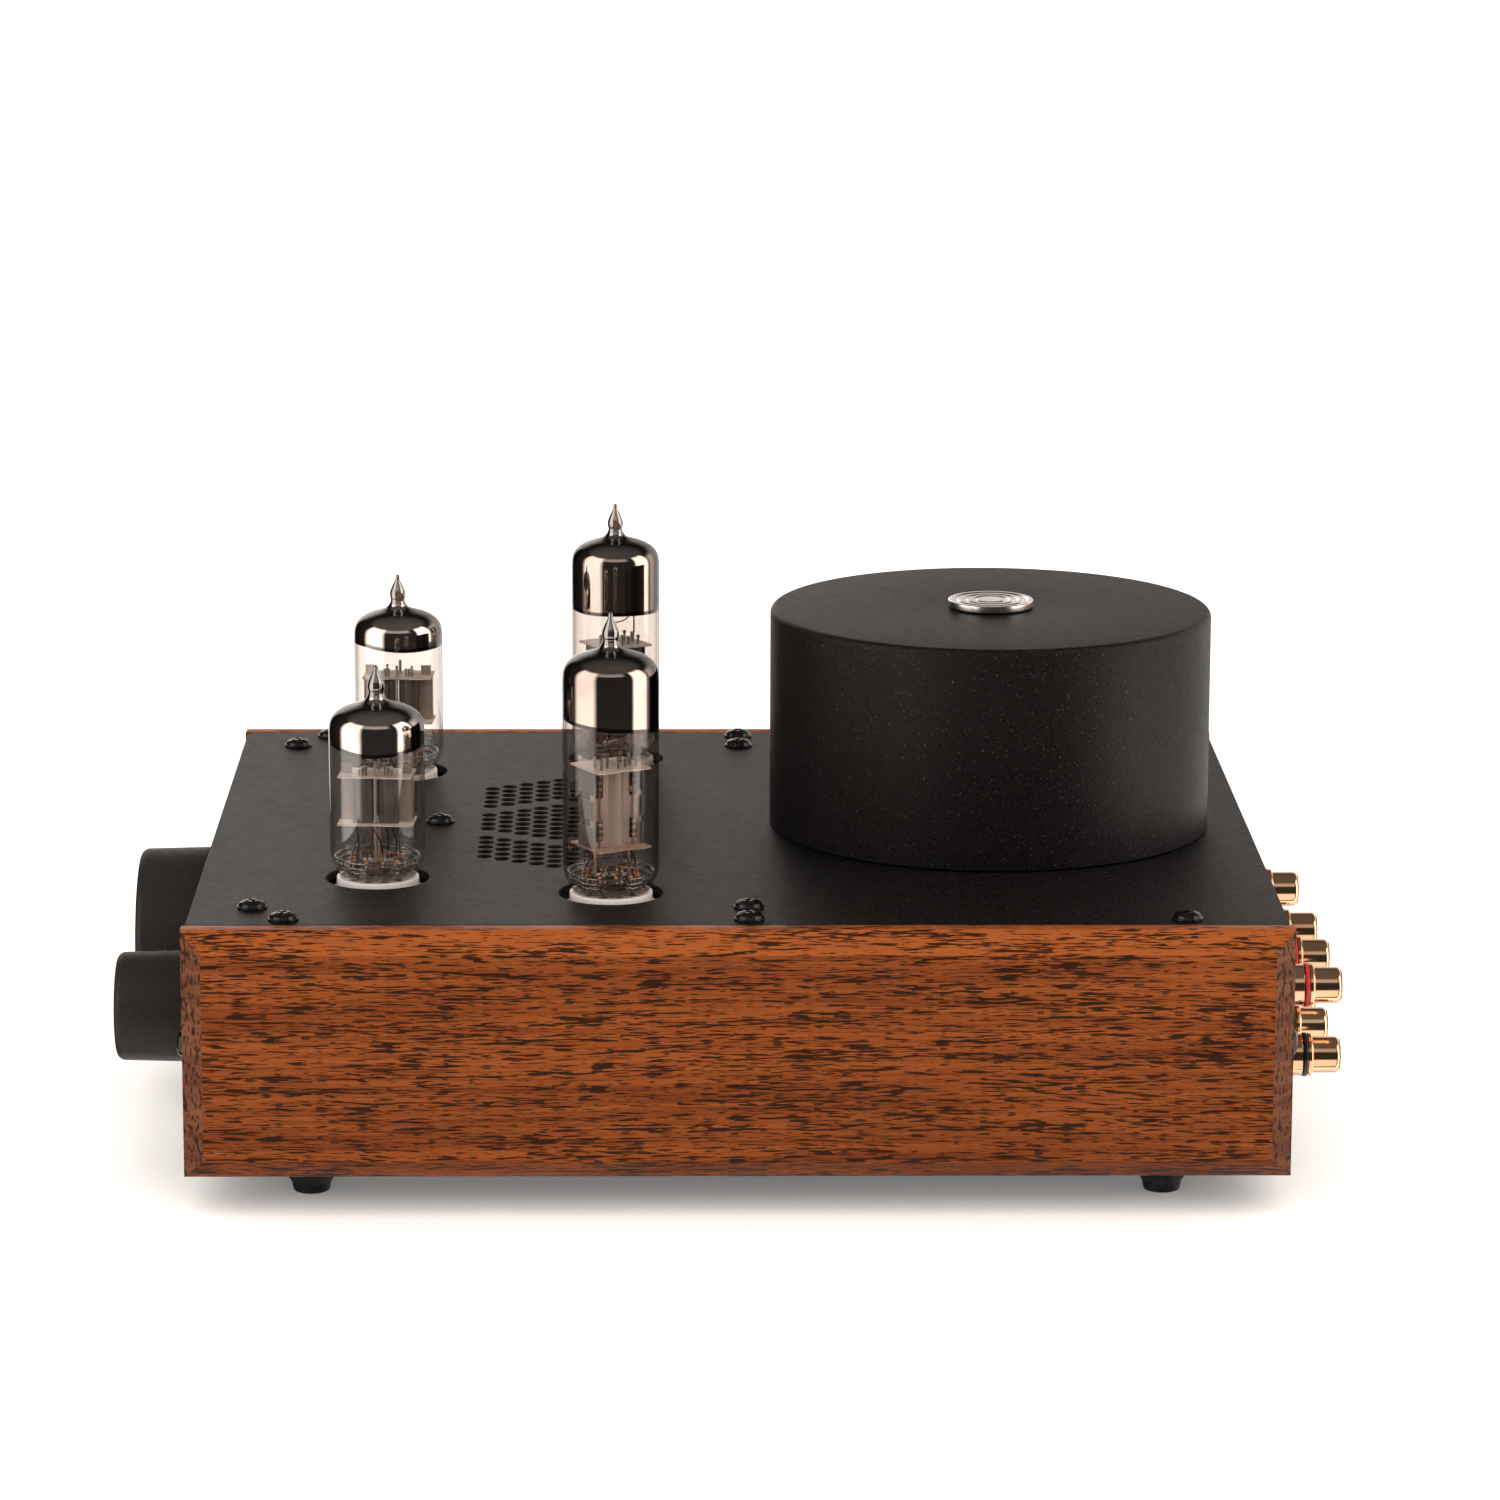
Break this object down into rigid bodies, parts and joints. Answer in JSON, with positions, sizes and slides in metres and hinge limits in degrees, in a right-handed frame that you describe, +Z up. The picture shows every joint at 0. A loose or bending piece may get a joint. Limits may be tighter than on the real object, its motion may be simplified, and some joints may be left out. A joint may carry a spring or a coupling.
{
  "type": "tube amplifier",
  "caption": "Desktop tube amplifier: steel chassis between oak side panels, plug-in tubes, round transformer cover, front knobs and phono sockets behind.",
  "frame": {"origin": "centre of the object's bounding box in X and Y, on the surface that the feet stand on", "axes": "+Z up; the front panel with the knobs faces -Y and the phono sockets face +Y; +X is to the right for someone facing the front"},
  "size_m": [0.2176, 0.2752, 0.1279],
  "materials": {
    "oak": "reddish-brown stained oak, satin lacquer, horizontal grain",
    "powder_black": "fine-textured black powder coat, satin",
    "knob_black": "matte black",
    "screw_black": "glossy black zinc",
    "rubber": "matte black",
    "nickel": "spun satin nickel",
    "zinc": "zinc plated",
    "winding": "varnished winding tape",
    "tube_glass": "clear blown glass",
    "glass_button": "thick moulded glass",
    "getter": "dark silvery getter film",
    "electrode": "dull grey carbonised nickel",
    "mica": "pale translucent mica",
    "copper": "bright copper",
    "ceramic": "white unglazed ceramic",
    "gold": "polished gold plating",
    "ring_red": "red insulating ring",
    "ring_black": "black insulating ring",
    "board": "green solder mask",
    "sleeve": "shrunk plastic sleeve",
    "black_plastic": "moulded black plastic",
    "lamp_lens": "diffusing lens"
  },
  "bodies": {
    "chassis": {"bottom_plate": "powder_black", "cover_badge": "nickel", "filter_capacitor_1": "sleeve", "filter_capacitor_2": "sleeve", "filter_capacitor_3": "sleeve", "foot_front_left": "rubber", "foot_front_right": "rubber", "foot_rear_left": "rubber", "foot_rear_right": "rubber", "front_panel": "powder_black", "headphone_jack": "black_plastic", "left_side_panel": "oak", "main_board": "board", "mains_inlet": "black_plastic", "phono_input_1_lower": "gold", "phono_input_1_upper": "gold", "phono_input_2_lower": "gold", "phono_input_2_upper": "gold", "phono_input_3_lower": "gold", "phono_input_3_upper": "gold", "phono_output_lower": "gold", "phono_output_upper": "gold", "power_lamp": "lamp_lens", "rear_panel": "powder_black", "right_side_panel": "oak", "selector_switch": "zinc", "socket_driver_left": "ceramic", "socket_driver_right": "ceramic", "socket_power_left": "ceramic", "socket_power_right": "ceramic", "top_plate": "powder_black", "top_screw_front_left": "screw_black", "top_screw_front_right": "screw_black", "top_screw_middle_left": "screw_black", "top_screw_middle_right": "screw_black", "top_screw_rear_left": "screw_black", "top_screw_rear_right": "screw_black", "toroidal_transformer": "winding", "transformer_bolt": "zinc", "transformer_clamp": "zinc", "transformer_cover": "powder_black", "volume_potentiometer": "zinc"},
    "volume_control": {"volume_knob": "knob_black", "volume_shaft": "zinc"},
    "selector_control": {"selector_knob": "knob_black", "selector_shaft": "zinc"},
    "fuse_drawer": {"fuse_drawer": "black_plastic"},
    "power_rocker": {"power_rocker": "black_plastic"},
    "tube_driver_left": {"glass_driver_left": "tube_glass", "pin_base_driver_left": "glass_button", "electrodes_driver_left": "electrode"},
    "tube_driver_right": {"glass_driver_right": "tube_glass", "pin_base_driver_right": "glass_button", "electrodes_driver_right": "electrode"},
    "tube_power_left": {"glass_power_left": "tube_glass", "pin_base_power_left": "glass_button", "electrodes_power_left": "electrode"},
    "tube_power_right": {"glass_power_right": "tube_glass", "pin_base_power_right": "glass_button", "electrodes_power_right": "electrode"}
  },
  "joints": [
    {"name": "volume_turn", "type": "hinge", "parent": "chassis", "child": "volume_control", "pos_m": [0, -0.1198, 0.036], "axis": [0, 1, 0], "range_deg": [-150, 150]},
    {"name": "selector_turn", "type": "hinge", "parent": "chassis", "child": "selector_control", "pos_m": [0.063, -0.1198, 0.036], "axis": [0, 1, 0], "range_deg": [-30, 30]},
    {"name": "fuse_drawer_slide", "type": "slide", "parent": "chassis", "child": "fuse_drawer", "axis": [0, 1, 0], "range_m": [0, 0.016]},
    {"name": "power_rocker_tilt", "type": "hinge", "parent": "chassis", "child": "power_rocker", "pos_m": [-0.0475, 0.1243, 0.036], "axis": [1, 0, 0], "range_deg": [0, 18]},
    {"name": "driver_left_tube_pull", "type": "slide", "parent": "chassis", "child": "tube_driver_left", "axis": [0, 0, 1], "range_m": [0, 0.009]},
    {"name": "driver_right_tube_pull", "type": "slide", "parent": "chassis", "child": "tube_driver_right", "axis": [0, 0, 1], "range_m": [0, 0.009]},
    {"name": "power_left_tube_pull", "type": "slide", "parent": "chassis", "child": "tube_power_left", "axis": [0, 0, 1], "range_m": [0, 0.009]},
    {"name": "power_right_tube_pull", "type": "slide", "parent": "chassis", "child": "tube_power_right", "axis": [0, 0, 1], "range_m": [0, 0.009]}
  ]
}
